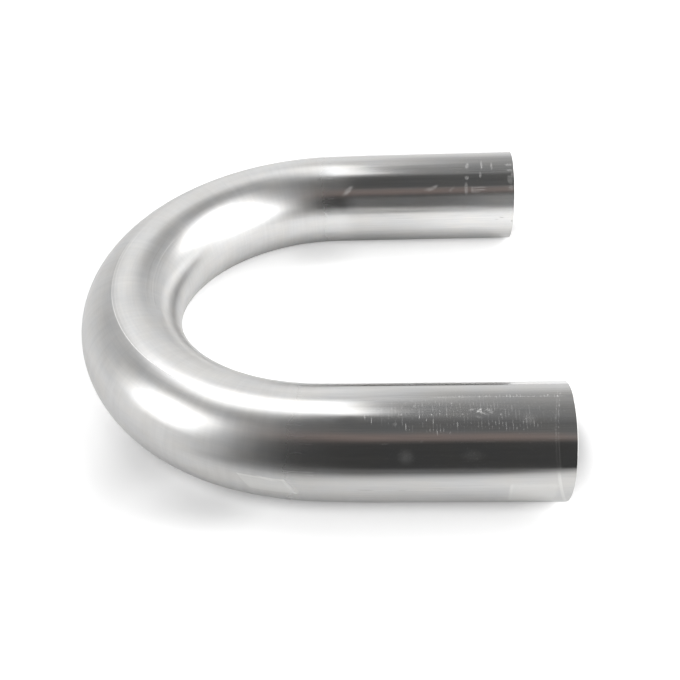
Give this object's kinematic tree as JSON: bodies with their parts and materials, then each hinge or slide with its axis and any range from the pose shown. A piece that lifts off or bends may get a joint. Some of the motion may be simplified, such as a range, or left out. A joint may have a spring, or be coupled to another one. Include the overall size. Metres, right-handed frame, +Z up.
{
  "type": "return bend",
  "caption": "Bare metal tube mandrel-bent through 180 degrees, with straight parallel legs and open, saw-cut ends, for turning a pipe or duct run back on itself.",
  "frame": {"origin": "middle of the outline seen from above, on the surface that the tube lies on", "axes": "+X towards the two open ends, along the legs; +Y from the near leg to the far leg; +Z up, square to the plane of the bend"},
  "size_m": [0.3442, 0.381, 0.0762],
  "materials": {
    "bare_steel": "bare mill finish: satin where the tube was stretched in the bend, glossier on the straight legs, with fine drawing lines and clamp marks"
  },
  "bodies": {
    "root": {"return_bend": "bare_steel"}
  },
  "joints": []
}
